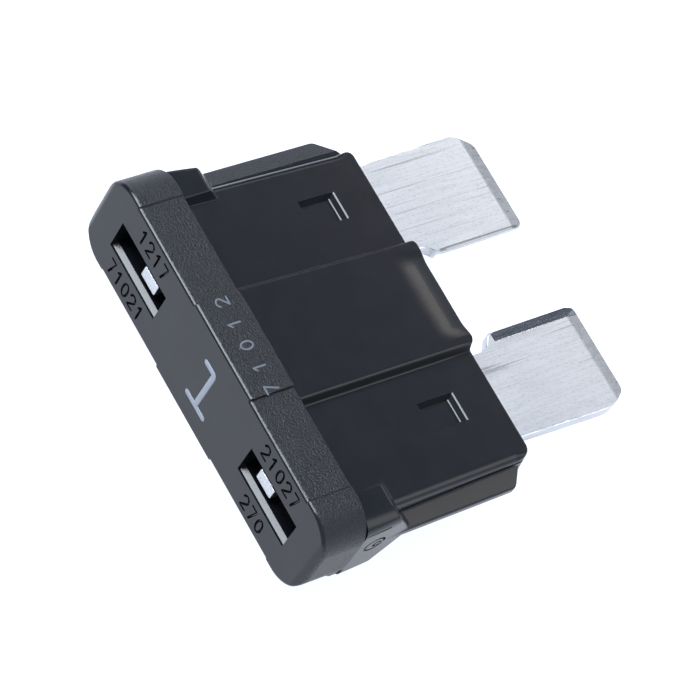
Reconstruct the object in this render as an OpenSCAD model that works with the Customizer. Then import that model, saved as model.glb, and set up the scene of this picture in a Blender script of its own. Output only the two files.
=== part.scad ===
// Automotive blade fuse of the regular size: a moulded housing closed round a stamped
// two-blade element. It lies on its back face. X runs across the width, Y from the head
// to the blade tips, Z up. Every size is in millimetres.

/* [Overall] */
// Length from the head's top face to the blade tips
overall_length = 18.6; // [18:0.1:19.4]
// Width across the head
head_width = 18.7; // [18.5:0.1:19.2]

/* [Head] */
// Height of the head, along the fuse
head_height = 2.2; // [1.8:0.1:3]
// Thickness of the head beside its middle section
head_thickness = 4.9; // [4.6:0.1:5.2]
// How far the middle section stands out on each face
middle_step = 0.12; // [0.04:0.02:0.2]
// Width of the raised middle section
middle_width = 4.7; // [3:0.1:6]
// Radius of the head's four long corners
head_corner_radius = 1.6; // [0.8:0.1:2]
// Slope taken off each end at the top face
head_end_bevel = 0.25; // [0.05:0.05:0.5]

/* [Test slots] */
// Length of one test slot across the head
slot_length = 3.85; // [3:0.05:4.4]
// Distance from the centre line to a slot's middle
slot_offset = 5.68; // [5.3:0.02:6]
// Width of the slot at its mouth
slot_mouth = 1.68; // [1.3:0.02:2]
// Width of the slot under its lead-in
slot_width = 1.24; // [0.9:0.02:1.5]
// Depth of the sloping lead-in
slot_lead_in = 0.5; // [0.2:0.05:0.8]

/* [Body] */
// Length of the moulded housing, head included
housing_length = 11.73; // [11:0.05:12.4]
// Thickness over the outer plates where they leave the head
plate_thickness = 3.2; // [3.1:0.02:3.6]
// Thickness over the centre panel where it leaves the head
panel_thickness = 4.24; // [4:0.02:4.6]
// Taper of the broad faces, as a rise over the length
face_taper = 0.034; // [0:0.002:0.036]
// Taper of the narrow sides, as a rise over the length
side_taper = 0.02; // [0:0.002:0.03]
// Width over the outer plates at their faces
plate_width = 16.1; // [15.4:0.1:16.6]
// How far the plates sit off the centre line, the back ones to the other side
plate_shift = 0.3; // [0:0.05:0.4]
// How far the plates flare out on each side, down to the side rib
plate_flare = 0.1; // [0.05:0.05:0.4]
// Radius of the plates' corners at the blade end
plate_corner_radius = 0.45; // [0.3:0.05:1.3]
// Width of the centre panel at its foot
panel_width = 5.84; // [5.4:0.02:6.6]
// How far each side of the centre panel leans in
panel_lean = 0.15; // [0.05:0.05:0.45]
// Radius of the centre panel's corners at the blade end
panel_corner_radius = 0.3; // [0.3:0.05:1]

/* [Side ribs] */
// Width over both side ribs
rib_width = 18.2; // [17.9:0.02:18.4]
// Thickness of a rib at its outer edge
rib_edge = 0.5; // [0.4:0.05:1.2]
// Thickness of a rib where it meets the plates
rib_root = 1.7; // [1.3:0.05:2.1]
// Corner taken off each rib at the blade end
rib_cut = 0.95; // [0.4:0.05:1.4]

/* [Shoulders] */
// Thickness of the shoulder blocks under the head
shoulder_thickness = 4.1; // [3.7:0.05:4.4]
// Distance from the centre line to a shoulder's inner edge
shoulder_inner = 7.45; // [7.2:0.05:7.8]
// How far a shoulder's inner side leans towards the centre line at its foot
shoulder_lean = 0.2; // [0:0.05:0.6]
// Distance from the head's top face to the end of a shoulder's flat
shoulder_flat_end = 3.9; // [3.4:0.05:4.4]
// Distance from the head's top face to the foot of a shoulder's slope
shoulder_foot = 5.3; // [5:0.05:5.8]
// How much less far out the left shoulder stands than the head
left_shoulder_inset = 0.3; // [0:0.05:0.4]
// Radius of a shoulder's outer long corners
shoulder_radius = 1.2; // [0.5:0.1:1.6]

/* [Stake windows] */
// Distance from the centre line to a window's middle
window_offset = 5.26; // [5:0.02:5.5]
// Distance from the head's top face to a window's middle
window_position = 8.7; // [8.3:0.05:9.2]
// Length of a window along the fuse
window_length = 1.9; // [1.75:0.05:2.3]
// Width of a window
window_width = 1.33; // [1.25:0.01:1.6]
// Depth of a window under the plate's face
window_depth = 0.3; // [0.1:0.05:0.4]
// Length of the slope at the window's blade side
window_slope = 0.35; // [0.1:0.05:0.5]

/* [Element] */
// Thickness of the stamped sheet
sheet_thickness = 0.65; // [0.6:0.01:0.8]
// Distance from the centre line to a blade's outer edge
blade_outer = 7.3; // [7.1:0.05:7.4]
// Width of a blade where it plugs in
blade_width = 5.2; // [4.9:0.05:5.3]
// Narrowing at the left blade's inner edge, inside the housing
left_neck = 0.55; // [0.2:0.05:1]
// Narrowing at the right blade's inner edge, inside the housing
right_neck = 0.87; // [0.2:0.01:1]
// Distance from the housing's end to where the left blade reaches full width
left_neck_run = 1.95; // [1.6:0.05:2.6]
// Distance from the housing's end to where the right blade reaches full width
right_neck_run = 2.15; // [1.6:0.05:2.6]
// Length over which a blade widens
neck_slope = 0.5; // [0.2:0.05:1]
// Length of the bevel at a blade tip
tip_bevel = 0.75; // [0.3:0.05:1.2]
// Sheet thickness left at the tip
tip_thickness = 0.2; // [0.1:0.02:0.4]
// Radius of a blade's inner tip corner
tip_radius = 0.5; // [0.2:0.05:1.2]
// Corner taken off a blade's outer tip, across the blade
tip_corner = 0.85; // [0.3:0.05:1.2]
// Width of the coined slope along one edge of each blade
coin_width = 0.6; // [0.2:0.05:1]
// Distance from the head's top face down to the blades' shoulders
blade_top = 1.3; // [1:0.05:1.6]
// Width of a test lug
lug_width = 1.15; // [0.8:0.05:1.6]
// Distance from the centre line to a test lug's middle
lug_offset = 5.1; // [4.8:0.05:5.6]
// Distance from the head's top face down to a test lug
lug_depth = 0.25; // [0.1:0.05:0.6]

/* [Fusible link] */
// Width of the link strip
link_width = 0.4; // [0.3:0.05:0.7]
// Thickness of the link strip
link_thickness = 0.24; // [0.16:0.02:0.4]
// Half the span between the link's legs
link_reach = 1.4; // [1:0.05:1.6]
// Distance from the head's top face to the link's bridge
link_top = 4.6; // [4:0.1:5.4]
// Distance from the head's top face to the link's feet
link_foot = 8; // [7:0.1:9]

/* [Stakes and clearances] */
// Length of a stake through a blade, along the fuse
stake_length = 1.3; // [1:0.05:1.5]
// Width of a stake through a blade
stake_width = 1; // [0.7:0.05:1.1]
// Gap between a stake and its hole
stake_clearance = 0.05; // [0.02:0.01:0.1]
// Gap between the element and its pocket
pocket_clearance = 0.05; // [0.02:0.01:0.1]
// Width of the chamber round the link
chamber_width = 4.9; // [4.2:0.1:5.1]
// Height of the chamber round the link
chamber_height = 1.7; // [1.2:0.05:1.8]
// Distance from the head's top face to the chamber's closed end
chamber_top = 2.6; // [2.2:0.1:3.6]

/* [Hidden] */
$fn = 48;
arc_steps = 6;
overrun = 1;
buried = 0.6;
middle_thickness = head_thickness + 2 * middle_step;
half_head = head_width / 2;
half_thickness = head_thickness / 2;
half_sheet = sheet_thickness / 2;
half_plate = plate_thickness / 2;
half_panel = panel_thickness / 2;
body_run = housing_length - head_height;
plate_end = half_plate - face_taper * body_run;
panel_end = half_panel - face_taper * body_run;
side_loss = side_taper * body_run;
plate_foot = plate_width / 2 + plate_flare;
side_angle = atan(side_taper);
blade_inner = blade_outer - blade_width;
pocket_inner = chamber_width / 2;
pocket_outer = blade_outer + pocket_clearance;
pocket_half = half_sheet + pocket_clearance;
pocket_top = blade_top - pocket_clearance;
window_face = half_plate - face_taper * (window_position - head_height);
window_floor = window_face - window_depth;
colour_housing = [0.16, 0.17, 0.2];
colour_element = [0.78, 0.8, 0.84];

housing();
fuse_element();

// Puts the fuse, drawn with its head's top face at y = 0 and its middle at z = 0, on the floor
module laid_down() {
    translate([0, -overall_length / 2, middle_thickness / 2]) children();
}

// Draws a (y, z) outline and runs it along x
module run_x(x0, x1) {
    translate([x0, 0, 0]) rotate([90, 0, 90]) linear_extrude(height = x1 - x0) children();
}

// Draws an (x, z) outline and runs it along y
module run_y(y0, y1) {
    translate([0, y1, 0]) rotate([90, 0, 0]) linear_extrude(height = y1 - y0) children();
}

// Draws an (x, y) outline and runs it along z, as far up as down
module run_z(half) {
    translate([0, 0, -half]) linear_extrude(height = 2 * half) children();
}

// Points of an arc round (x, y)
function arc(x, y, radius, from, to) =
    [for (i = [0 : arc_steps])
        let (a = from + (to - from) * i / arc_steps) [x + radius * cos(a), y + radius * sin(a)]];

// A block with rounded long corners, running along y
module rounded_bar(half_x, half_z, radius, y0, y1) {
    translate([-half_x, y0, -half_z + radius]) cube([2 * half_x, y1 - y0, 2 * (half_z - radius)]);
    translate([-half_x + radius, y0, -half_z]) cube([2 * (half_x - radius), y1 - y0, 2 * half_z]);
    for (sx = [-1, 1], sz = [-1, 1])
        translate([sx * (half_x - radius), y1, sz * (half_z - radius)])
            rotate([90, 0, 0]) cylinder(r = radius, h = y1 - y0);
}

// Outline of the body seen on its broad face: straight tapered sides, round corners at the end
module body_outline(half_width, corner) {
    end_half = half_width - side_loss;
    polygon(concat(
        [[-half_width, head_height - buried], [half_width, head_height - buried]],
        arc(end_half - corner, housing_length - corner, corner, 0, 90),
        arc(-end_half + corner, housing_length - corner, corner, 90, 180)));
}

// Wedge between the two broad faces, seen from the side
module face_wedge(start_half, end_half) {
    start = start_half + face_taper * buried;
    polygon([[head_height - buried, -start], [housing_length, -end_half],
             [housing_length, end_half], [head_height - buried, start]]);
}

module head() {
    intersection() {
        union() {
            rounded_bar(half_head, half_thickness, head_corner_radius, 0, head_height);
            translate([-middle_width / 2, 0, -middle_thickness / 2])
                cube([middle_width, head_height, middle_thickness]);
        }
        run_z(middle_thickness)
            polygon([[-half_head + head_end_bevel, 0], [half_head - head_end_bevel, 0],
                     [half_head, head_end_bevel], [half_head, head_height],
                     [-half_head, head_height], [-half_head, head_end_bevel]]);
    }
}

// Keeps what lies between two mirrored sides that close up towards the blade end.
// The outline is drawn on the right side; its points at x = 0 are carried over to the left
module between_sides(half_width, outline) {
    reach = [for (p = outline) p[0] == 0 ? [-half_head, p[1]] : p];
    intersection_for(left = [0, 1]) mirror([left, 0, 0])
        translate([half_width, head_height, 0]) rotate([0, 0, side_angle])
            translate([-half_width, -head_height, 0])
                run_y(-overrun, housing_length + overrun) polygon(reach);
}

// Front half of the outer plates, from the middle plane to the face
module front_plates() {
    intersection() {
        between_sides(plate_foot, [[0, 0], [plate_foot, 0], [plate_foot, rib_root / 2],
                                   [plate_width / 2, half_plate], [0, half_plate]]);
        run_x(-plate_foot, plate_foot) face_wedge(half_plate, plate_end);
        run_z(middle_thickness) body_outline(plate_foot, plate_corner_radius);
    }
}

module plates() {
    for (turn = [0, 180]) rotate([0, turn, 0]) translate([plate_shift, 0, 0]) front_plates();
}

module centre_panel() {
    foot = panel_width / 2;
    top = foot - panel_lean;
    intersection() {
        between_sides(foot, [[0, -half_panel], [top, -half_panel], [foot, -plate_end],
                             [foot, plate_end], [top, half_panel], [0, half_panel]]);
        run_x(-foot, foot) face_wedge(half_panel, panel_end);
        run_z(middle_thickness) body_outline(foot, panel_corner_radius);
    }
}

module side_ribs() {
    outer = rib_width / 2;
    end = outer - side_loss;
    intersection() {
        run_y(head_height - buried, housing_length)
            polygon([[-outer, -rib_edge / 2], [-plate_foot + panel_lean, -rib_root / 2],
                     [plate_foot - panel_lean, -rib_root / 2], [outer, -rib_edge / 2],
                     [outer, rib_edge / 2], [plate_foot - panel_lean, rib_root / 2],
                     [-plate_foot + panel_lean, rib_root / 2], [-outer, rib_edge / 2]]);
        run_z(middle_thickness)
            polygon([[-outer, head_height - buried], [outer, head_height - buried],
                     [end, housing_length - rib_cut], [end - rib_cut, housing_length],
                     [-end + rib_cut, housing_length], [-end, housing_length - rib_cut]]);
    }
}

// One shoulder block: flat on both broad faces, then sloping down to the side rib
module shoulder(inset) {
    half = shoulder_thickness / 2;
    edge = rib_edge / 2;
    start = head_height - buried;
    foot = shoulder_inner - shoulder_lean;
    outer = half_head - inset;
    rib_there = rib_width / 2 - side_taper * (shoulder_foot - head_height);
    intersection() {
        rounded_bar(outer, half, shoulder_radius, start, shoulder_foot);
        run_x(foot, half_head)
            polygon([[start, -half], [shoulder_flat_end, -half], [shoulder_foot, -edge],
                     [shoulder_foot, edge], [shoulder_flat_end, half], [start, half]]);
        run_y(start, shoulder_foot)
            polygon([[shoulder_inner, half], [foot, plate_end], [foot, -plate_end],
                     [shoulder_inner, -half], [half_head, -half], [half_head, half]]);
        run_z(middle_thickness)
            polygon([[0, start], [half_head, start], [half_head, head_height],
                     [rib_there, shoulder_foot], [0, shoulder_foot]]);
    }
}

module test_slots() {
    mouth = slot_mouth / 2;
    half = slot_width / 2;
    for (side = [-1, 1])
        run_x(side * slot_offset - slot_length / 2, side * slot_offset + slot_length / 2)
            polygon([[-overrun, -mouth], [0, -mouth], [slot_lead_in, -half], [pocket_top + buried, -half],
                     [pocket_top + buried, half], [slot_lead_in, half], [0, mouth], [-overrun, mouth]]);
}

// Room for one blade, less the stake that goes through its hole
module blade_pocket() {
    end = housing_length + overrun;
    difference() {
        translate([pocket_inner - buried, pocket_top, -pocket_half])
            cube([pocket_outer - pocket_inner + buried, end - pocket_top, 2 * pocket_half]);
        translate([window_offset - stake_width / 2, window_position - stake_length / 2, -half_plate])
            cube([stake_width, stake_length, plate_thickness]);
    }
}

module link_chamber() {
    translate([-chamber_width / 2, chamber_top, -chamber_height / 2])
        cube([chamber_width, housing_length + overrun - chamber_top, chamber_height]);
}

module stake_windows() {
    start = window_position - window_length / 2;
    end = window_position + window_length / 2;
    for (side = [-1, 1], face = [-1, 1])
        run_x(side * window_offset - window_width / 2, side * window_offset + window_width / 2)
            polygon([[start, face * half_thickness], [start, face * window_floor],
                     [end - window_slope, face * window_floor], [end, face * window_face],
                     [end, face * half_thickness]]);
}

module housing() {
    color(colour_housing) laid_down() difference() {
        union() {
            head();
            plates();
            centre_panel();
            side_ribs();
            shoulder(0);
            mirror([1, 0, 0]) shoulder(left_shoulder_inset);
        }
        test_slots();
        stake_windows();
        link_chamber();
        blade_pocket();
        mirror([1, 0, 0]) blade_pocket();
    }
}

// One blade with its test lug, its inner edge set back by neck as far as widening starts
module blade(neck, neck_run, coined_face) {
    neck_edge = blade_inner + neck;
    full_width_start = housing_length + neck_run;
    hole_x = stake_width / 2 + stake_clearance;
    hole_y = stake_length / 2 + stake_clearance;
    lug0 = lug_offset - lug_width / 2;
    lug1 = lug_offset + lug_width / 2;
    difference() {
        intersection() {
            run_z(half_sheet)
                polygon(concat(
                    [[neck_edge, blade_top], [lug0, blade_top], [lug0, lug_depth], [lug1, lug_depth],
                     [lug1, blade_top], [blade_outer, blade_top],
                     [blade_outer, overall_length - 1.4 * tip_corner],
                     [blade_outer - 0.65 * tip_corner, overall_length - 0.4 * tip_corner],
                     [blade_outer - tip_corner, overall_length]],
                    arc(blade_inner + tip_radius, overall_length - tip_radius, tip_radius, 90, 180),
                    [[blade_inner, full_width_start], [neck_edge, full_width_start - neck_slope]]));
            run_x(0, blade_outer)
                polygon([[0, -half_sheet], [overall_length - tip_bevel, -half_sheet],
                         [overall_length, -tip_thickness / 2], [overall_length, tip_thickness / 2],
                         [overall_length - tip_bevel, half_sheet], [0, half_sheet]]);
        }
        translate([window_offset - hole_x, window_position - hole_y, -sheet_thickness])
            cube([2 * hole_x, 2 * hole_y, 2 * sheet_thickness]);
        run_y(full_width_start, overall_length + overrun)
            polygon([[blade_inner - overrun, 0], [blade_inner, 0],
                     [blade_inner + coin_width, coined_face * half_sheet],
                     [blade_inner + coin_width, coined_face * sheet_thickness],
                     [blade_inner - overrun, coined_face * sheet_thickness]]);
    }
}

// Thin strip between the blades: two feet, two legs and a bridge
module link() {
    left_edge = blade_inner + left_neck;
    right_edge = blade_inner + right_neck;
    leg_length = link_foot - link_top;
    translate([0, 0, -link_thickness / 2]) {
        translate([-left_edge - buried / 2, link_foot - link_width, 0])
            cube([left_edge + buried / 2 - link_reach + link_width, link_width, link_thickness]);
        translate([link_reach - link_width, link_foot - link_width, 0])
            cube([right_edge + buried / 2 - link_reach + link_width, link_width, link_thickness]);
        for (x = [-link_reach, link_reach - link_width])
            translate([x, link_top, 0]) cube([link_width, leg_length, link_thickness]);
        translate([-link_reach, link_top, 0]) cube([2 * link_reach, link_width, link_thickness]);
    }
}

module fuse_element() {
    color(colour_element) laid_down() union() {
        blade(right_neck, right_neck_run, 1);
        mirror([1, 0, 0]) blade(left_neck, left_neck_run, -1);
        link();
    }
}
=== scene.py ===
"""Automotive blade fuse: the looks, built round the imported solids.

Laid out as a Blender add-on and run as a script. Sizes are in millimetres in the fuse's own
measures: w across the width, l from the head's top face towards the blade tips, t out of the
broad face, counted from the middle plane.
"""
import math

import bpy
import numpy as np
from bpy.props import FloatProperty, FloatVectorProperty, PointerProperty
from mathutils import Matrix, Vector


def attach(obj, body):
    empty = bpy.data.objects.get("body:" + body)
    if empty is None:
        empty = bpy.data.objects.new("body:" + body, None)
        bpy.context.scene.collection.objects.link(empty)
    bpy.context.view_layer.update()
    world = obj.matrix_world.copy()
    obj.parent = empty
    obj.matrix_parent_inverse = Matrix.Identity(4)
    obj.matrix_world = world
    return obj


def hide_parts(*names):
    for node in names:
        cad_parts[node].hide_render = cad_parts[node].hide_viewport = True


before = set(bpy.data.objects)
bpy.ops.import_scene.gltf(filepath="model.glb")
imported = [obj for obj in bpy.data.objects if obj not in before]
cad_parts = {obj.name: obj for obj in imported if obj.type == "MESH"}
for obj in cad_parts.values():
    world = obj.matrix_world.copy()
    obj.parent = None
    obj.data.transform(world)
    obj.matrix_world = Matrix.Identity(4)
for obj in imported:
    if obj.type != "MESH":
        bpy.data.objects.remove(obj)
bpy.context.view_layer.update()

bl_info = {
    "name": "Blade fuse",
    "version": (1, 0, 0),
    "blender": (4, 5, 0),
    "location": "View3D > Sidebar > Fuse",
    "description": "Builds the housing, the element, the marks and the stage of a blade fuse",
    "category": "Add Mesh",
}

MM = 0.001
FRONT, BACK = 1, -1

# Sizes in millimetres: the part's own, or moved a little from them to meet the photo
LENGTH = 18.6
MIDDLE_HALF = 2.57
HEAD = {"half_w": 9.35, "half_t": 2.45, "height": 2.27, "corner": 1.6, "bevel": 0.25}
STEP = {"half_w": 2.4, "half_t": MIDDLE_HALF, "end_w": 7.3, "end_t": 2.52}
BODY_END, PANEL_END = 11.77, 11.87
FACE_TAPER = 0.034
PLATE = {"half_t": 1.6, "face_w": 8.13, "foot_w": 8.23, "foot_t": 0.85, "shift": 0.32,
         "taper": 0.025, "corners": (0.35, 0.5)}
PANEL = {"half_t": 2.12, "face_w": 2.78, "foot_w": 2.92, "shift": 0.1, "drift": 0.01,
         "taper": 0.022, "corners": (0.22, 0.3)}
# The panel's face sinks slowly from one place towards its end, and faster from another
SINK = {"slow_l": 10.2, "slow": 0.04, "fast_l": 10.9, "fast": 0.115, "half_w": 2.2}
RIB = {"half_w": 9.15, "half_t": 0.2, "taper": 0.012, "shift": 0.05,
       "cut_l": 10.95, "end_w": 8.0, "end_l": 11.5}
SHOULDER = {"half_t": 2.05, "flat": 3.87, "foot": 5.3, "corners": (0.4, 0.9), "inset": 0.3,
            "edge_w": (7.35, 7.48), "foot_w": (7.12, 7.33),
            "outer": ((8.88, 3.9, 8.62), (9.35, 5.3, 9.09)), "groove": (0.06, 0.1)}
TEST_SLOT = {"middle_w": 5.68, "half_w": 1.925, "deep": 1.95,
             "half": ((-0.5, 0.85), (0.08, 0.85), (0.1, 0.845), (0.34, 0.73))}
WINDOW_W = 5.22
# Rings of a staking window: (height over the face, w0, w1, l0, l1)
WINDOW = ((1, -0.7, 0.68, 7.84, 9.79), (0, -0.7, 0.68, 7.84, 9.79),
          (-0.035, -0.68, 0.67, 7.86, 9.72), (-0.27, -0.575, 0.58, 7.95, 9.6),
          (-0.285, -0.57, 0.575, 7.96, 9.57), (-0.3, -0.56, 0.56, 7.98, 9.54))
SLIT = {"in": -0.2, "out": 0.1, "low": -0.005, "high": 0.105, "past": 0.1}
CHAMBER = (-2.45, 2.45, 2.6, 12.7, -0.85, 0.85)
POCKET = {"middle_w": 4.875, "half_w": 2.475, "from_l": 1.25, "past": 0.2, "half_t": 0.375}
STAKE = {"middle_w": 5.26, "half_w": 0.5, "from_l": 8.05, "to_l": 9.35, "half_t": 0.7}
HOLE = {"middle_w": 5.26, "half_w": 0.55, "from_l": 8, "to_l": 9.4, "half_t": 1}
# Each blade: its side, inner and outer edges, how much narrower and how long its neck is, and
# the face that its coined slope is on
BLADES = ({"side": 1, "inner": 2.02, "outer": 7.2, "neck": 0.83, "neck_run": 2.05, "coined": 1},
          {"side": -1, "inner": 2.15, "outer": 7.3, "neck": 0.45, "neck_run": 1.95, "coined": -1})
BLADE_HALF = 0.325
LUG = {"middle_w": 5.1, "half_w": 0.575, "from_l": 0.25, "to_l": 2}
BLADE_ROOT = 1.3
TIP_BEVEL = (17.85, 18.6, 0.1)
TIP_CORNER = (17.6, 0.65)
LINK_HALF = 0.12
# Bars of the link between the blades: (w0, w1, l0, l1)
LINK = ((-2.9, -1, 7.6, 8), (1, 3.2, 7.6, 8), (-1.4, -1, 4.6, 8), (1, 1.4, 4.6, 8),
        (-1.4, 1.4, 4.6, 5))
# Rows of plain numerals on the head's top face, and the (w, t) of each row's middle
TOP_ROWS = (("1217", (-5.42, 1.66)), ("71021", (-5.73, -1.63)),
            ("21027", (5.62, 1.65)), ("270", (5.58, -1.65)))


# ---------------------------------------------------------------- settings


class FuseHousingSettings(bpy.types.PropertyGroup):
    edge: FloatProperty(name="Edge radius", default=0.14, min=0.05, max=0.25,
                        description="Rounding of the housing's outer edges, in mm")
    plastic: FloatVectorProperty(name="Plastic", description="Colour of the moulded plastic",
                                 subtype="COLOR", size=3, default=(0.0042, 0.0048, 0.0064),
                                 min=0, max=1)
    grain: FloatProperty(name="Grain", description="Strength of the head's spark-eroded grain",
                         default=1.0, min=0, max=3)


class FuseElementSettings(bpy.types.PropertyGroup):
    edge: FloatProperty(name="Edge radius", description="Rounding of the stamped edges, in mm",
                        default=0.05, min=0.02, max=0.1)
    metal: FloatVectorProperty(name="Metal", description="Colour of the plated metal",
                               subtype="COLOR", size=3, default=(0.72, 0.745, 0.77), min=0, max=1)


class FuseMarkSettings(bpy.types.PropertyGroup):
    stroke: FloatProperty(name="Stroke", description="Width of the rating mark's strokes, in mm",
                          default=0.3, min=0.1, max=0.4)
    ink: FloatVectorProperty(name="Ink", description="Colour of the rating mark",
                             subtype="COLOR", size=3, default=(0.20, 0.22, 0.26), min=0, max=1)


class FuseStageSettings(bpy.types.PropertyGroup):
    floor: FloatVectorProperty(name="Floor", description="Colour of the floor",
                               subtype="COLOR", size=3, default=(0.22, 0.23, 0.25), min=0, max=1)
    glow: FloatProperty(name="Glow", description="How much the floor shines by itself",
                        default=0.87, min=0)
    key: FloatProperty(name="Key light", description="Power of the key light", subtype="POWER",
                       default=1.7, min=0)
    card: FloatProperty(name="Warm card", description="Power of the warm card behind the blades",
                        subtype="POWER", default=0.075, min=0)
    warm_side: FloatProperty(name="Warm side", subtype="POWER", default=0.18, min=0,
                             description="Power of the warm light beside the blades")
    side: FloatProperty(name="Side strip", description="Power of the small light over the blades",
                        subtype="POWER", default=0.026, min=0)


# ---------------------------------------------------------------- meshes


def metres(w, l, t):
    """Places in metres in the shared frame from the fuse's own measures in millimetres."""
    return np.stack([w, l - LENGTH / 2, t + MIDDLE_HALF], axis=-1) * MM


def piece(name, points, faces, material):
    """Puts whole arrays of points and faces into a new mesh object at the origin."""
    mesh = bpy.data.meshes.new(name)
    mesh.from_pydata(np.asarray(points).reshape(-1, 3), [], [tuple(f) for f in faces])
    mesh.validate()
    mesh.materials.append(material)
    mesh.shade_smooth()
    thing = bpy.data.objects.new(name, mesh)
    bpy.context.collection.objects.link(thing)
    return thing


def cut(a, b, radius):
    """Distance to what two solids share, its edge rounded to a radius."""
    corner = np.hypot(np.maximum(a + radius, 0), np.maximum(b + radius, 0))
    return np.minimum(-radius, np.maximum(a, b)) + corner


def join(a, b, radius):
    """Distance to two solids together, with a fillet of a radius between them."""
    corner = np.hypot(np.maximum(radius - a, 0), np.maximum(radius - b, 0))
    return np.maximum(radius, np.minimum(a, b)) - corner


def plane(u, v, from_u, from_v, to_u, to_v):
    """Distance from the line through two points, positive on its left seen along the line."""
    du, dv = to_u - from_u, to_v - from_v
    return ((v - from_v) * du - (u - from_u) * dv) / np.hypot(du, dv)


def block(u, v, half_u, half_v, radius):
    """Distance to a rounded rectangle round the origin."""
    a, b = np.abs(u) - half_u + radius, np.abs(v) - half_v + radius
    return np.hypot(np.maximum(a, 0), np.maximum(b, 0)) + np.minimum(np.maximum(a, b), 0) - radius


def panel_distance(w, l, t, edge):
    """Distance to the centre panel: leaning walls, a tapering face that sinks near its end, round
    corners there, and an edge that grows sharper over the last half millimetre."""
    far = np.abs(t)
    run = l - HEAD["height"]
    turned = np.where(t < 0, -w, w) - PANEL["shift"] - PANEL["drift"] * run
    narrowed = np.abs(turned) + PANEL["taper"] * run
    wall = plane(narrowed, far, PANEL["face_w"], PANEL["half_t"], PANEL["foot_w"], PLATE["half_t"])
    corner = np.where(turned > 0, PANEL["corners"][1], PANEL["corners"][0])
    slow = np.clip((l - SINK["slow_l"]) / 0.7, 0, 1) ** 2
    sink = SINK["slow"] * slow + SINK["fast"] * np.maximum(l - SINK["fast_l"], 0)
    sink = sink * np.clip((SINK["half_w"] - np.abs(turned - 0.05)) / 0.6, 0, 1)
    radius = edge * (0.2 + 0.65 * np.clip((PANEL_END - 0.1 - l) / 0.5, 0, 1))
    face = far - PANEL["half_t"] + FACE_TAPER * run + sink
    return cut(cut(wall, l - PANEL_END, corner), face, radius)


def housing_distance(w, l, t, edge):
    """Distance to the housing's outside: head, plates, panel, ribs and shoulders, joined."""
    far, side = np.abs(t), np.abs(w)
    run = l - HEAD["height"]
    end = l - BODY_END
    left = np.where(t < 0, w, -w) > 0
    pick = lambda pair: np.where(left, pair[0], pair[1])
    # Head: a rounded bar, its middle and its ends raised, the ends bevelled at the top face
    bar = block(w, t, HEAD["half_w"], HEAD["half_t"], HEAD["corner"])
    bar = join(bar, block(w, t, STEP["half_w"], STEP["half_t"], 0.05), 0.02)
    raised = block(w, t, HEAD["half_w"], STEP["end_t"], HEAD["corner"])
    bar = join(bar, cut(raised, STEP["end_w"] - side, 0.03), 0.02)
    bevel = (side - HEAD["half_w"] + HEAD["bevel"] - l) / math.sqrt(2)
    head = cut(cut(bar, bevel, 0.1), -l, 0.12)
    head = cut(head, run, 0.06)
    # Plates: leaning sides, a tapering face, and round corners and a tight edge at the blade end
    turned = np.where(t < 0, -w, w) - PLATE["shift"]
    turned_side = np.abs(turned) + PLATE["taper"] * run
    wall = plane(turned_side, far, PLATE["face_w"], PLATE["half_t"],
                 PLATE["foot_w"], PLATE["foot_t"])
    radius = edge * (0.5 + 2 * np.clip((-0.15 - end) / 0.6, 0, 1))
    face = far - PLATE["half_t"] + FACE_TAPER * run
    plates = cut(cut(wall, end, pick(PLATE["corners"])), face, radius)
    body = join(plates, panel_distance(w, l, t, edge), 0.09)
    # Side ribs, their corners cut at the blade end
    out = np.abs(w - RIB["shift"]) + RIB["taper"] * run
    top = plane(out, far, PLATE["face_w"], PLATE["foot_t"], RIB["half_w"], RIB["half_t"])
    top = np.maximum(top, far - PLATE["foot_t"])
    nick = -plane(out, l, RIB["half_w"], RIB["cut_l"], RIB["end_w"], RIB["end_l"])
    rib = cut(cut(cut(out - RIB["half_w"], nick, 0.15), top, 0.08), end, 0.12)
    body = join(body, rib, 0.02)
    # Shoulders: a rounded bar, cut by the inner side, the slope and the tapering outer side,
    # with a fine groove where they meet the head
    groove_l, groove = SHOULDER["groove"]
    inset = np.where(w < 0, SHOULDER["inset"], 0.0) + np.where(run < groove_l, groove, 0.0)
    rounded = block(side + inset, t, HEAD["half_w"], SHOULDER["half_t"], pick(SHOULDER["corners"]))
    inner = -plane(side, far, pick(SHOULDER["edge_w"]), SHOULDER["half_t"],
                   pick(SHOULDER["foot_w"]), PLATE["half_t"])
    slope = plane(l, far, SHOULDER["flat"], SHOULDER["half_t"], SHOULDER["foot"], RIB["half_t"])
    outer = np.where(w < 0, *(plane(l, side, HEAD["height"], w0, l1, w1)
                              for w0, l1, w1 in SHOULDER["outer"]))
    shoulder = cut(cut(rounded, slope, 0.08), outer, 0.2)
    shoulder = cut(shoulder, inner, 0.05)
    body = join(body, shoulder, 0.03)
    body = cut(body, -run - 0.6, 0.05)
    return join(head, body, 0.03)


def spread(*stretches):
    """Places along a line: each stretch is (from, to, count), its end left to the next one."""
    parts = [np.linspace(a, b, n, endpoint=False) for a, b, n in stretches]
    return np.append(np.concatenate(parts), stretches[-1][1])


def reach_along(distance, start, step, far):
    """How far from the start points, along the step directions, the surface lies: the distance
    changes sign once on the way, and halving the stretch finds where."""
    low = np.zeros(start[0].shape)
    high = np.full(start[0].shape, far)
    for _ in range(26):
        middle = (low + high) / 2
        inside = distance(*(s + d * middle for s, d in zip(start, step))) < 1e-4
        low, high = np.where(inside, middle, low), np.where(inside, high, middle)
    return (low + high) / 2


def bands(index):
    """Faces between neighbouring rings, from a grid of the points' numbers with a ring a row."""
    after = np.roll(index, -1, axis=1)
    faces = np.stack([index[:-1], after[:-1], after[1:], index[1:]], axis=-1)
    return faces.reshape(-1, 4).tolist()


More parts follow.
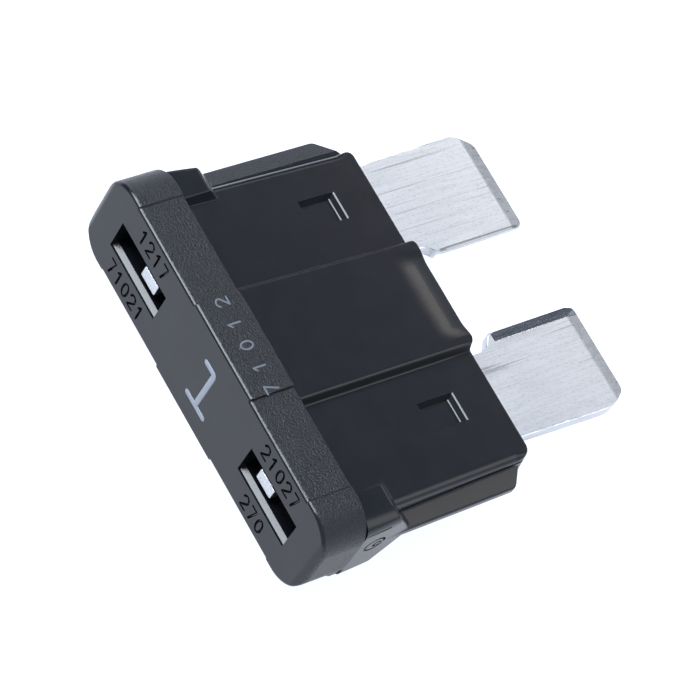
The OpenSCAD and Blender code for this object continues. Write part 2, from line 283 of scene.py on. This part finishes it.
def ring_shell(distance, stations, spine, fan, spine_at, far):
    """Closed surface carried along l, as points and faces. Each ring starts from a straight spine
    in the middle plane: rays leave it at right angles on both broad sides and in a fan round both
    of its ends, and each point lies where its ray meets the surface. Rows from front to back and
    a fan of triangles at both ends of the spine close the first and the last ring."""
    quarter = np.linspace(0.5, 0, fan + 1)[1:] * math.pi
    turn = np.concatenate([math.pi - quarter[::-1], np.full(len(spine), math.pi / 2), quarter])
    place = np.concatenate([np.full(fan, spine[0]), spine, np.full(fan, spine[-1])])
    l, s = np.meshgrid(stations, place, indexing="ij")
    w, level = spine_at(s, l), np.zeros_like(l)
    across, up = np.broadcast_to(np.cos(turn), l.shape), np.broadcast_to(np.sin(turn), l.shape)
    halves = []
    for sign in (FRONT, BACK):
        out = reach_along(distance, (w, l, level), (across, level, sign * up), far)
        halves.append(metres(w + across * out, l, sign * up * out))
    front, back = halves
    points = np.concatenate([front, back[:, -2:0:-1]], axis=1)
    rows, around = points.shape[:2]
    index = np.arange(rows * around).reshape(rows, around)
    faces = bands(index)
    count = len(place)
    partner = np.concatenate([[0], np.arange(around - 1, count - 1, -1), [count - 1]])
    points = points.reshape(-1, 3)
    first, last = fan, count - fan - 1
    for row, way in ((0, 1), (-1, -1)):
        top, low = index[row][:count], index[row][partner]
        middles = len(points) + np.arange(2)
        ends = metres(w[row, [first, last]], l[row, [first, last]], np.zeros(2))
        points = np.concatenate([points, ends])
        here, ahead = slice(first, last), slice(first + 1, last + 1)
        caps = np.stack([top[here], low[here], low[ahead], top[ahead]], axis=-1).tolist()
        caps[0].insert(1, middles[0])
        caps[-1].insert(3, middles[1])
        for middle, run in ((middles[0], slice(0, first + 1)), (middles[1], slice(last, count))):
            for edge, order in ((top[run], [0, 2, 1]), (low[run], [0, 1, 2])):
                fans = np.stack([np.full(len(edge) - 1, middle), edge[:-1], edge[1:]], axis=-1)
                caps += fans[:, order].tolist()
        faces += [[int(k) for k in face[::way]] for face in caps]
    return points, faces


def prism(outline, w0, w1):
    """Closed bar: an (l, t) outline carried along w from one place to another."""
    l, t = np.array(outline, float).T
    count = len(l)
    points = np.concatenate([metres(np.full(count, w), l, t) for w in (w0, w1)])
    k = np.arange(count)
    sides = np.stack([k, (k + 1) % count, (k + 1) % count + count, k + count], axis=-1).tolist()
    return points, sides + [k[::-1].tolist(), (k + count).tolist()]


def box(w0, w1, l0, l1, t0, t1):
    """Closed block between two corners."""
    return prism([(l0, t0), (l0, t1), (l1, t1), (l1, t0)], w0, w1)


def stack(rings):
    """Closed block through rings of four (w, l, t) corners, each joined to the next one."""
    corners = np.array(rings, float)
    index = np.arange(len(corners) * 4).reshape(-1, 4)
    caps = [index[0, ::-1].tolist(), index[-1].tolist()]
    return metres(*corners.reshape(-1, 3).T), bands(index) + caps


def cord(path, radius, to_place, sides=10):
    """Closed round stroke: a circle carried along a flat path, shrinking to nothing at both ends
    as a half sphere does. to_place turns (a, b, height) into a place in metres."""
    a, b = np.array(path, float).T
    gone = np.concatenate([[0], np.cumsum(np.hypot(np.diff(a), np.diff(b)))])
    dome = np.array([1, 0.94, 0.77, 0.5, 0.17])
    steps = np.unique(np.concatenate([gone, np.arange(0, gone[-1], radius)]))
    run = np.concatenate([-dome * radius, steps, gone[-1] + dome[::-1] * radius])
    inside = np.clip(run, 0, gone[-1])
    size = radius * np.sqrt(np.maximum(1 - ((run - inside) / radius) ** 2, 0.002))
    a0, b0 = np.interp(inside, gone, a), np.interp(inside, gone, b)
    ahead, behind = (np.clip(inside + near, 0, gone[-1]) for near in (radius / 2, -radius / 2))
    da, db = (np.interp(ahead, gone, c) - np.interp(behind, gone, c) for c in (a, b))
    long = np.hypot(da, db)
    da, db = da / long, db / long
    a0, b0 = a0 + da * (run - inside), b0 + db * (run - inside)
    turn = np.arange(sides) * 2 * math.pi / sides
    across, up = np.cos(turn)[None] * size[:, None], np.sin(turn)[None] * size[:, None]
    points = to_place(a0[:, None] - db[:, None] * across, b0[:, None] + da[:, None] * across, up)
    index = np.arange(points.shape[0] * sides).reshape(-1, sides)
    return points.reshape(-1, 3), bands(index) + [index[0, ::-1].tolist(), index[-1].tolist()]


def gathered(parts):
    """Several closed meshes as one list of points and one of faces, all facing outwards: a mesh
    whose enclosed volume comes out negative is turned round."""
    points, faces, first = [], [], 0
    for places, polygons in parts:
        fans = np.array([(p[0], p[i], p[i + 1]) for p in polygons for i in range(1, len(p) - 1)])
        a, b, c = (places[fans[:, i]] for i in range(3))
        if (a * np.cross(b, c)).sum() < 0:
            polygons = [polygon[::-1] for polygon in polygons]
        points.append(places)
        faces += [[first + i for i in polygon] for polygon in polygons]
        first += len(places)
    return np.concatenate(points), faces


def carve(thing, parts, operation="DIFFERENCE", own=False):
    """Takes closed meshes away from a piece, or adds them, and keeps the result as its mesh. With
    own set, the meshes may overlap each other."""
    tool = piece(thing.name + "_tool", *gathered(parts), thing.data.materials[0])
    modifier = thing.modifiers.new("carve", "BOOLEAN")
    modifier.operation, modifier.object = operation, tool
    modifier.solver, modifier.use_self = "EXACT", own
    carved = thing.evaluated_get(bpy.context.evaluated_depsgraph_get())
    made = bpy.data.meshes.new_from_object(carved)
    if len(made.polygons) < len(thing.data.polygons) / 2:
        raise RuntimeError("carving " + thing.name + " left too little of it")
    thing.modifiers.clear()
    thing.data = made
    made.name = thing.name
    bpy.data.objects.remove(tool)


def own_normals(thing, distance, close=0.012, agreement=0.92):
    """Shades a carved piece: a corner on the surface that the distance describes takes the slope
    of the distance as its normal, read just inside its face, and a corner on a wall that was cut
    later takes its face's."""
    mesh = thing.data
    mesh.shade_smooth()
    count, vertex = np.empty(len(mesh.polygons), int), np.empty(len(mesh.loops), int)
    flat, centre, places = (np.empty(3 * n) for n in (len(count), len(count), len(mesh.vertices)))
    mesh.polygons.foreach_get("loop_total", count)
    mesh.polygons.foreach_get("normal", flat)
    mesh.polygons.foreach_get("center", centre)
    mesh.loops.foreach_get("vertex_index", vertex)
    mesh.vertices.foreach_get("co", places)
    flat, centre = (np.repeat(a.reshape(-1, 3), count, axis=0) for a in (flat, centre))
    places = places.reshape(-1, 3)[vertex]
    inwards = centre - places
    length = np.maximum(np.linalg.norm(inwards, axis=1, keepdims=True), 1e-9)
    places = places + inwards * np.minimum(0.03 * MM / length, 0.5)
    w, l, t = (places / MM + (0, LENGTH / 2, -MIDDLE_HALF)).T
    step = 1e-3
    slope = np.stack([distance(w + step, l, t) - distance(w - step, l, t),
                      distance(w, l + step, t) - distance(w, l - step, t),
                      distance(w, l, t + step) - distance(w, l, t - step)], axis=-1)
    slope /= np.maximum(np.linalg.norm(slope, axis=1, keepdims=True), 1e-9)
    agree = (np.abs(distance(w, l, t)) < close) & ((flat * slope).sum(axis=1) > agreement)
    normal = np.where(agree[:, None], slope, flat)
    # An edge stays smooth only where both of its faces have the same normals at its two ends
    edge = np.empty(len(mesh.loops), int)
    mesh.loops.foreach_get("edge_index", edge)
    last = np.cumsum(count) - 1
    after = np.arange(len(edge)) + 1
    after[last] = last - count + 1
    order = np.argsort(edge, kind="stable")
    pairs = edge[order][1:] == edge[order][:-1]
    one, other = order[:-1][pairs], order[1:][pairs]
    alike = np.minimum((normal[one] * normal[after[other]]).sum(axis=1),
                       (normal[after[one]] * normal[other]).sum(axis=1))
    sharp = np.zeros(len(mesh.edges), bool)
    sharp[edge[one[alike < 0.9995]]] = True
    mesh.edges.foreach_set("use_edge_sharp", sharp)
    mesh.normals_split_custom_set(normal.tolist())


def arc(a, b, radius_a, radius_b, start, stop, count=12):
    """Points of an ellipse's arc round (a, b), from one angle to another in degrees."""
    turn = np.radians(np.linspace(start, stop, count))
    return np.stack([a + radius_a * np.cos(turn), b + radius_b * np.sin(turn)], axis=-1).tolist()


# Strokes of plain numerals, in a cell 0.6 wide and 1 high
NUMERALS = {
    "0": arc(0.3, 0.5, 0.28, 0.48, 92, 440, 26),
    "1": [(0.1, 0.76), (0.32, 1), (0.32, 0)],
    "2": arc(0.29, 0.71, 0.28, 0.28, 165, -35) + [(0.02, 0.02), (0.58, 0.02)],
    "7": [(0.02, 1), (0.56, 1), (0.22, 0)],
}


def numerals(text, centre, pitch, size, radius, to_place):
    """Strokes of a row of numerals round a centre, each a closed round stroke. The size is
    the width and the height of one numeral."""
    rows = []
    for place, sign in enumerate(text):
        path = (np.array(NUMERALS[sign]) - (0.3, 0.5)) * (size[0] / 0.6, size[1])
        path += (centre[0] + (place - (len(text) - 1) / 2) * pitch, centre[1])
        rows.append(cord(path, radius, to_place))
    return rows


# ---------------------------------------------------------------- materials


class Value:
    """A number or a vector inside a material. Python's operators on it add Math nodes."""

    def __init__(self, finish, socket):
        self.finish, self.socket = finish, socket

    def math(self, operation, *values):
        return self.finish.node("ShaderNodeMath", {"operation": operation}, dict(enumerate(values)))

    def __add__(self, other):
        return self.math("ADD", self, other)

    def __sub__(self, other):
        return self.math("SUBTRACT", self, other)

    def __rsub__(self, other):
        return self.math("SUBTRACT", other, self)

    def __mul__(self, other):
        return self.math("MULTIPLY", self, other)

    def __abs__(self):
        return self.math("ABSOLUTE", self)

    __radd__, __rmul__ = __add__, __mul__

    def rise(self, low, high):
        """0 below low, 1 above high, smooth between. With low above high it falls instead."""
        return self.finish.node("ShaderNodeMapRange", {"interpolation_type": "SMOOTHSTEP"},
                                {"Value": self, "From Min": low, "From Max": high})


class Finish:
    """One material, its nodes added by one method."""

    def __init__(self, name, base, roughness, metallic=0.0, **fixed):
        self.material = bpy.data.materials.new(name)
        self.material.use_nodes = True
        self.tree = self.material.node_tree
        self.shader = self.tree.nodes["Principled BSDF"]
        self.set("Base Color", (*base, 1))
        self.set("Roughness", roughness)
        self.set("Metallic", metallic)
        for socket, value in fixed.items():
            self.set(socket.replace("_", " "), value)

    def set(self, socket, value):
        self.link(self.shader.inputs[socket], value)

    def link(self, socket, value):
        if isinstance(value, Value):
            self.tree.links.new(value.socket, socket)
        else:
            socket.default_value = value

    def node(self, kind, settings=None, values=None, output=0):
        """Adds a node: its settings first, then the values or links of its sockets."""
        made = self.tree.nodes.new(kind)
        for name, value in (settings or {}).items():
            setattr(made, name, value)
        for name, value in (values or {}).items():
            self.link(made.inputs[name], value)
        return Value(self, made.outputs[output])

    def place(self):
        """Object coordinates in millimetres, and their w, l and t in the fuse's own measures."""
        at = self.node("ShaderNodeTexCoord", output="Object")
        at = self.node("ShaderNodeMapping", {}, {"Vector": at, "Scale": (1 / MM,) * 3,
                                                 "Location": (0, LENGTH / 2, -MIDDLE_HALF)})
        parts = self.node("ShaderNodeSeparateXYZ", {}, {0: at})
        return at, [Value(self, parts.socket.node.outputs[i]) for i in range(3)]

    def noise(self, at, scale, detail, roughness=0.5, stretch=None):
        """Cloudy noise, the place multiplied by stretch first."""
        if stretch:
            at = self.node("ShaderNodeVectorMath", {"operation": "MULTIPLY"}, {0: at, 1: stretch})
        return self.node("ShaderNodeTexNoise", {}, {"Vector": at, "Scale": scale,
                                                    "Detail": detail, "Roughness": roughness})

    def mix(self, factor, first, second):
        """A colour between two colours."""
        return self.node("ShaderNodeMix", {"data_type": "RGBA"},
                         {0: factor, 6: (*first, 1), 7: (*second, 1)}, output=2)

    def bump(self, height, strength, distance):
        """Raises the surface by the height, in millimetres times distance."""
        self.set("Normal", self.node("ShaderNodeBump", {}, {"Height": height, "Strength": strength,
                                                            "Distance": distance * MM}))


def housing_finish(settings):
    """Black moulded plastic: coarse spark-eroded grain round the head, fine satin elsewhere."""
    base = tuple(settings.plastic)
    finish = Finish("housing_plastic", base, 0.4, IOR=1.345)
    at, (w, l, t) = finish.place()
    inner = abs(t).rise(2.2, 2.1) * abs(w).rise(7.9, 7.8)
    head = l.rise(0.1, 0.18) * l.rise(2.33, 2.28) * (1 - inner)
    coarse = finish.noise(at, 9.0, 3.0, 0.6)
    fine = finish.noise(at, 34.0, 2.0, 0.55)
    finish.bump(head * (coarse * settings.grain) + fine * (0.04 + 0.35 * head), 1.0, 0.06)
    # The steep walls of the panel and of the windows came rougher from the mould
    height = abs(t) + FACE_TAPER * (l - HEAD["height"])
    panel_wall = height.rise(1.63, 1.68) * height.rise(2.06, 2.0)
    steep = panel_wall * abs(w).rise(3.4, 3.3) * l.rise(2.2, 2.3)
    near_window = abs(abs(w) - WINDOW_W).rise(0.72, 0.7) * abs(l - 8.8).rise(1.02, 1.0)
    pit = height.rise(1.57, 1.54) * near_window * height.rise(1.315, 1.335)
    finish.set("Roughness", 0.18 + 0.08 * head + 0.06 * fine + 0.45 * (steep + pit))
    clouds = finish.noise(at, 0.9, 3.0)
    finish.set("Base Color", finish.mix(clouds.rise(0.35, 0.7), base, [1.25 * c for c in base]))
    return finish.material


def element_finish(settings):
    """Plated metal with long drawing marks along the blades."""
    base = tuple(settings.metal)
    finish = Finish("element_metal", base, 0.35, 1.0)
    at, (w, l, t) = finish.place()
    drawn = finish.noise(at, 9.0, 4.0, 0.65, stretch=(1, 0.04, 1))
    lines = finish.noise(at, 5.0, 3.0, 0.6, stretch=(1, 0.012, 1)).rise(0.6, 0.68)
    specks = finish.noise(at, 26.0, 2.0, 0.5, stretch=(1, 0.25, 1))
    # Cut edges and the coined facet are greyer than the rolled faces; a burr lines one edge
    stamped = abs(t).rise(0.31, 0.28)
    coined = l.rise(13.8, 13.85) * w.rise(2.64, 2.6) * w.rise(1.9, 1.95)
    burr = l.rise(13.75, 13.9) * w.rise(-2.32, -2.28) * t.rise(0.2, 0.25) * w.rise(0, -0.1)
    finish.set("Roughness", 0.27 + 0.1 * drawn - 0.14 * coined)
    finish.bump(drawn * 0.5 + specks * 0.4, 0.4, 0.02)
    grey = 0.05 + drawn.rise(0.6, 0.4) * 0.14 + lines * 0.5 + specks.rise(0.5, 0.7) * 0.25
    grey = (grey + stamped * 0.35 - coined * 0.1 + burr).rise(-0.1, 1.1)
    finish.set("Base Color", finish.mix(grey, base, [0.4 * c for c in base]))
    return finish.material


# ---------------------------------------------------------------- operators


def slot_cutter(side):
    """A test slot: sloping lead-ins on both long sides, with a small bevel at the mouth."""
    half = [*TEST_SLOT["half"], (TEST_SLOT["deep"], TEST_SLOT["half"][-1][1])]
    outline = [(l, -t) for l, t in half] + [(l, t) for l, t in half[::-1]]
    middle = side * TEST_SLOT["middle_w"]
    return prism(outline, middle - TEST_SLOT["half_w"], middle + TEST_SLOT["half_w"])


def face_level(l, lift):
    """Height of a place over the plates' tapering face."""
    return PLATE["half_t"] - FACE_TAPER * (l - HEAD["height"]) + lift


def window_cutter(side, face):
    """A staking window: a shallow pit with sloping sides, a small bevel round its rim and a
    round at the foot of its blade side."""
    middle = side * WINDOW_W
    return stack([[(middle + w, l, face * face_level(l, lift))
                   for w, l in ((w0, l0), (w1, l0), (w1, l1), (w0, l1))]
                  for lift, w0, w1, l0, l1 in WINDOW])


def slit_cutter(side, face):
    """A fine slit along the foot of a plate's side, above the rib."""
    rings = []
    low, high = (PLATE["foot_t"] + SLIT[end] for end in ("low", "high"))
    for l in (HEAD["height"] - SLIT["past"], BODY_END + SLIT["past"]):
        foot = side * (PLATE["foot_w"] - PLATE["taper"] * (l - HEAD["height"]))
        foot += face * PLATE["shift"]
        rings.append([(foot + side * SLIT[out], l, face * up)
                      for out, up in (("in", low), ("out", low), ("out", high), ("in", high))])
    return stack(rings)


def blocks(size, to_l):
    """One block on each side, from a row of sizes, as far as a place along the fuse."""
    return [box(side * size["middle_w"] - size["half_w"], side * size["middle_w"] + size["half_w"],
                size["from_l"], to_l, -size["half_t"], size["half_t"]) for side in (-1, 1)]


class FUSE_OT_housing(bpy.types.Operator):
    """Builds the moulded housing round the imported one"""

    bl_idname = "fuse.housing"
    bl_label = "Housing"

    def execute(self, context):
        settings = context.scene.fuse_housing
        edge = settings.edge
        # Rings and rays stand closer where the surface turns: at the panel's walls and at the ends.
        # A ring stands a hair before and after the head's end face and the groove's end. The one
        # after the end face still counts as on it, so a fine slope leads down to the groove
        half = spread((0, 1.4, 3), (1.4, 2.3, 14), (2.3, 2.48, 7), (2.48, 3.2, 20), (3.2, 7.0, 8),
                      (7.0, 7.6, 16))
        spine = np.concatenate([-half[:0:-1], half])
        ends = 1 - np.cos(np.linspace(0, math.pi / 2, 9))
        near_end = BODY_END - 1.3 * (1 - np.sin(np.linspace(0, math.pi / 2, 34)))
        hair, neck, groove = 5e-5, HEAD["height"], HEAD["height"] + SHOULDER["groove"][0]
        stations = np.concatenate([
            0.14 * ends, spread((0.16, 0.4, 8), (0.4, 2.18, 6)), neck - 0.07 * ends[::-1][:-1],
            [neck - hair, neck + hair, groove - hair, groove + hair],
            spread((2.35, 3.6, 8), (3.6, 5.5, 34), (5.5, 9.8, 8), (9.8, 10.4, 4))[:-1], near_end])
        shift = lambda s, l: s - np.sign(s) * 0.02 * (np.maximum(l - neck, 0)
                                                      * np.minimum(np.abs(s) / 2.3, 1))
        distance = lambda w, l, t: housing_distance(w, l, t, edge)
        points, faces = ring_shell(distance, stations, spine, 56, shift, 6.0)
        housing = piece("housing_moulding", points, faces, housing_finish(settings))
        # The panel's tip stands past the plates, a hundredth inside the rest so no faces coincide
        inset = 0.01
        tip = ring_shell(lambda w, l, t: panel_distance(w, l, t, edge) + inset,
                         PANEL_END - inset - 0.35 * (1 - np.sin(np.linspace(0, math.pi / 2, 16))),
                         spread((-2.1, 2.1, 24)), 40, lambda s, l: s, 3.0)
        carve(housing, [tip], "UNION")
        tools = [slot_cutter(side) for side in (-1, 1)]
        tools += [cutter(side, face) for cutter in (window_cutter, slit_cutter)
                  for side in (-1, 1) for face in (FRONT, BACK)]
        carve(housing, tools + [box(*CHAMBER)])
        carve(housing, blocks(POCKET, BODY_END + POCKET["past"]))
        carve(housing, blocks(STAKE, STAKE["to_l"]), "UNION")
        # Engraved strokes: numerals on the head's top face, a parting line and two rings beside
        # the right shoulder. They reach deeper than they are wide
        on_top = lambda a, b, up: metres(a, 0 * a - 2.2 * up, b)
        on_end = lambda a, b, up: metres(9.34 - 0.086 * (a - HEAD["height"]) + 1.5 * up, a, b)
        marks = []
        for text, centre in TOP_ROWS:
            marks += numerals(text, centre, 0.6, (0.4, 0.8), 0.06, on_top)
        marks.append(cord([(2.36, 1.4), (3.62, 1.4)], 0.05, on_end))
        marks.append(cord(arc(3.3, 0.2, 0.5, 0.42, 0, 330, 28), 0.06, on_end))
        marks.append(cord(arc(3.45, 0.15, 0.2, 0.14, 20, 300, 14), 0.06, on_end))
        carve(housing, marks, own=True)
        own_normals(housing, distance)
        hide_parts("housing")
        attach(housing, "root")
        return {"FINISHED"}


def blade_distance(side, inner, outer, neck, neck_run, coined, edge):
    """Distance to one blade with its lug, as a function of w, l and t."""
    wide = BODY_END + neck_run

    def distance(w, l, t):
        w = side * w
        narrow = inner + neck - w
        full = cut(inner - w, -plane(w, l, inner, wide, inner + 0.5, wide - 0.4), 0.2)
        plan = cut(join(narrow, full, 0.2), BLADE_ROOT - l, 0.08)
        plan = cut(plan, w - np.interp(l, [12, 17], [outer - 0.12, outer]), edge)
        plan = cut(plan, cut(l - LENGTH, inner - w, 0.45), edge)
        corner_l, corner_w = TIP_CORNER
        plan = cut(plan, -plane(w, l, outer, corner_l, outer - corner_w, LENGTH), 0.2)
        lug = cut(np.abs(w - LUG["middle_w"]) - LUG["half_w"], LUG["from_l"] - l, 0.06)
        plan = join(plan, cut(lug, l - LUG["to_l"], 0.06), 0.05)
        bevel_l, bevel_end, bevel_t = TIP_BEVEL
        bevel = plane(l, np.abs(t), bevel_l, BLADE_HALF, bevel_end, bevel_t)
        solid = cut(plan, np.maximum(np.abs(t) - BLADE_HALF, bevel), edge)
        slope = plane(w, coined * t, inner, 0, inner + 0.58, BLADE_HALF)
        return np.where(l > wide, np.maximum(solid, slope), solid)

    return distance


class FUSE_OT_element(bpy.types.Operator):
    """Builds the stamped element: two blades with their lugs, and the link between them"""

    bl_idname = "fuse.element"
    bl_label = "Element"

    def execute(self, context):
        settings = context.scene.fuse_element
        finish = element_finish(settings)
        spine = spread((0, 1, 24))
        parts, blades = [], []
        for blade in BLADES:
            side, inner, wide = blade["side"], blade["inner"], BODY_END + blade["neck_run"]
            # Rings stand a hair before and after each place where the outline jumps
            stations = np.concatenate([
                spread((0.25, 0.36, 8), (0.36, 1.2, 4), (1.2, 1.2999, 4)),
                spread((1.3001, 1.45, 8), (1.45, wide - 0.9, 8), (wide - 0.9, wide - 0.0001, 36)),
                spread((wide + 0.0001, 17.2, 8))[:-1], spread((17.2, 17.8499, 12)),
                18.6 - 0.7499 * (1 - np.sin(np.linspace(0, math.pi / 2, 30)))])

            def spine_at(s, l, side=side, neck=inner + blade["neck"], wide=wide,
                         facet=inner + 0.59):
                near = np.interp(l, [BLADE_ROOT, wide - 0.5, wide - 0.01],
                                 [neck + 0.25, neck + 0.25, facet])
                far = np.interp(l, [BLADE_ROOT, 17.2, LENGTH], [6.9, 6.9, 6.2])
                near = np.where(l < BLADE_ROOT, 4.75, near)
                far = np.where(l < BLADE_ROOT, 5.45, far)
                return side * np.where(side > 0, near + (far - near) * s, far + (near - far) * s)

            blades.append(blade_distance(**blade, edge=settings.edge))
            parts.append(ring_shell(blades[-1], stations, spine, 14, spine_at, 3.0))
        element = piece("element_strip", *gathered(parts), finish)
        carve(element, blocks(HOLE, HOLE["to_l"]))
        link = [box(*bar, -LINK_HALF, LINK_HALF) for bar in LINK]
        carve(element, link, "UNION", own=True)
        own_normals(element, lambda w, l, t: np.minimum(*(blade(w, l, t) for blade in blades)))
        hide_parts("fuse_element")
        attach(element, "root")
        return {"FINISHED"}


class FUSE_OT_marks(bpy.types.Operator):
    """Builds the rating mark on the head's top face and the numerals on its front face"""

    bl_idname = "fuse.marks"
    bl_label = "Marks"

    def execute(self, context):
        settings = context.scene.fuse_marks
        radius = settings.stroke / 2
        place = lambda a, b, up: metres(a, 0 * a - 0.18 * up, b)
        stem = [(-0.34, 1.12), (0.22, 1.12), (0.3, 1.09), (0.33, 1.0), (0.33, -1.25)]
        foot = [(-0.34, -1.32), (0.98, -1.32)]
        strokes = [cord(path, radius, place) for path in (stem, foot)]
        ink = Finish("mark_ink", tuple(settings.ink), 0.45)
        mark = piece("rating_mark", *gathered(strokes), ink.material)
        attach(mark, "root")
        plastic = bpy.data.materials["housing_plastic"]
        front = lambda a, b, up: metres(0.05 - a, 1.2 - b, STEP["half_t"] - 0.004 + 0.3 * up)
        row = numerals("71012", (0, 0), 1.08, (0.4, 0.6), 0.05, front)
        digits = piece("front_numerals", *gathered(row), plastic)
        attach(digits, "root")
        return {"FINISHED"}


def soft_light(name, towards, distance, size, power, colour=(1, 1, 1)):
    """A soft light, its size a width and a height, that looks at the fuse from a direction."""
    lamp = bpy.data.lights.new(name, "AREA")
    lamp.shape, lamp.size, lamp.size_y = "RECTANGLE", *size
    lamp.energy, lamp.color = power, colour
    thing = bpy.data.objects.new(name, lamp)
    direction = Vector(towards).normalized()
    thing.location = Vector((0, 0, 0.002)) + direction * distance
    thing.rotation_euler = direction.to_track_quat("Z", "Y").to_euler()
    bpy.context.collection.objects.link(thing)


def studio(dark, bright):
    """A plain studio world: one colour from -X, another from +X, smooth between."""
    world = bpy.data.worlds.new("studio")
    world.use_nodes = True
    nodes, links = world.node_tree.nodes, world.node_tree.links
    towards = nodes.new("ShaderNodeSeparateXYZ")
    links.new(nodes.new("ShaderNodeTexCoord").outputs["Generated"], towards.inputs[0])
    rise = nodes.new("ShaderNodeMapRange")
    rise.interpolation_type = "SMOOTHSTEP"
    rise.inputs["From Min"].default_value, rise.inputs["From Max"].default_value = -0.9, 0.9
    links.new(towards.outputs["X"], rise.inputs["Value"])
    blend = nodes.new("ShaderNodeMix")
    blend.data_type = "RGBA"
    blend.inputs[6].default_value, blend.inputs[7].default_value = (*dark, 1), (*bright, 1)
    links.new(rise.outputs["Result"], blend.inputs[0])
    links.new(blend.outputs[2], nodes["Background"].inputs["Color"])
    return world


class FUSE_OT_stage(bpy.types.Operator):
    """Builds the floor, the lights and the camera"""

    bl_idname = "fuse.stage"
    bl_label = "Stage"

    def execute(self, context):
        settings = context.scene.fuse_stage
        corners = [(-1, -1, 0), (1, -1, 0), (1, 1, 0), (-1, 1, 0)]
        paper = Finish("floor_paper", tuple(settings.floor), 0.9,
                       Emission_Color=(1, 1.04, 1.15, 1), Emission_Strength=settings.glow)
        piece("floor", np.array(corners, float) * 1.5, [(0, 1, 2, 3)], paper.material)
        context.scene.world = studio((0.10, 0.115, 0.15), (0.9, 0.98, 1.15))
        soft_light("key_light", (-0.4, -0.25, 0.88), 0.25, (0.17, 0.13), settings.key,
                   (0.86, 0.93, 1))
        soft_light("side_strip", (-0.6, 0.54, 0.59), 0.25, (0.05, 0.05), settings.side)
        soft_light("warm_card", (-0.3, 0.765, 0.565), 0.25, (0.12, 0.045), settings.card,
                   (1, 0.93, 0.87))
        soft_light("warm_side", (0.6, 0.54, 0.6), 0.3, (0.16, 0.16), settings.warm_side,
                   (1, 0.95, 0.88))
        context.scene.view_settings.view_transform = "Standard"
        eye = Vector((49.74, -89.71, 130.08)) * MM
        across = Vector((0.4816, 0.7976, 0.3633)).normalized()
        back = Vector((0.302, -0.5402, 0.7855)).normalized()
        up = back.cross(across).normalized()
        camera = bpy.data.objects.new("camera", bpy.data.cameras.new("camera"))
        camera.data.sensor_width, camera.data.lens = 36, 196.9
        camera.data.clip_start, camera.data.clip_end = 0.01, 10
        turned = Matrix((across, up, back)).transposed().to_4x4()
        camera.matrix_world = Matrix.Translation(eye) @ turned
        context.collection.objects.link(camera)
        context.scene.camera = camera
        return {"FINISHED"}


class FUSE_PT_panel(bpy.types.Panel):
    """Lists the fuse's steps and settings"""

    bl_idname = "FUSE_PT_panel"
    bl_label = "Blade fuse"
    bl_space_type = "VIEW_3D"
    bl_region_type = "UI"
    bl_category = "Fuse"

    def draw(self, context):
        for step, (group, settings) in zip(STEPS, GROUPS.items()):
            column = self.layout.column(align=True)
            column.operator(step.bl_idname)
            for name in settings.__annotations__:
                column.prop(getattr(context.scene, group), name)


GROUPS = {"fuse_housing": FuseHousingSettings, "fuse_element": FuseElementSettings,
          "fuse_marks": FuseMarkSettings, "fuse_stage": FuseStageSettings}
STEPS = (FUSE_OT_housing, FUSE_OT_element, FUSE_OT_marks, FUSE_OT_stage)
CLASSES = (*GROUPS.values(), *STEPS, FUSE_PT_panel)


def register():
    for kind in CLASSES:
        bpy.utils.register_class(kind)
    for name, group in GROUPS.items():
        setattr(bpy.types.Scene, name, PointerProperty(type=group))


def unregister():
    for name in GROUPS:
        delattr(bpy.types.Scene, name)
    for kind in reversed(CLASSES):
        bpy.utils.unregister_class(kind)


def main():
    register()
    for step in ("stage", "housing", "element", "marks"):
        getattr(bpy.ops.fuse, step)()


if __name__ == "__main__":
    main()
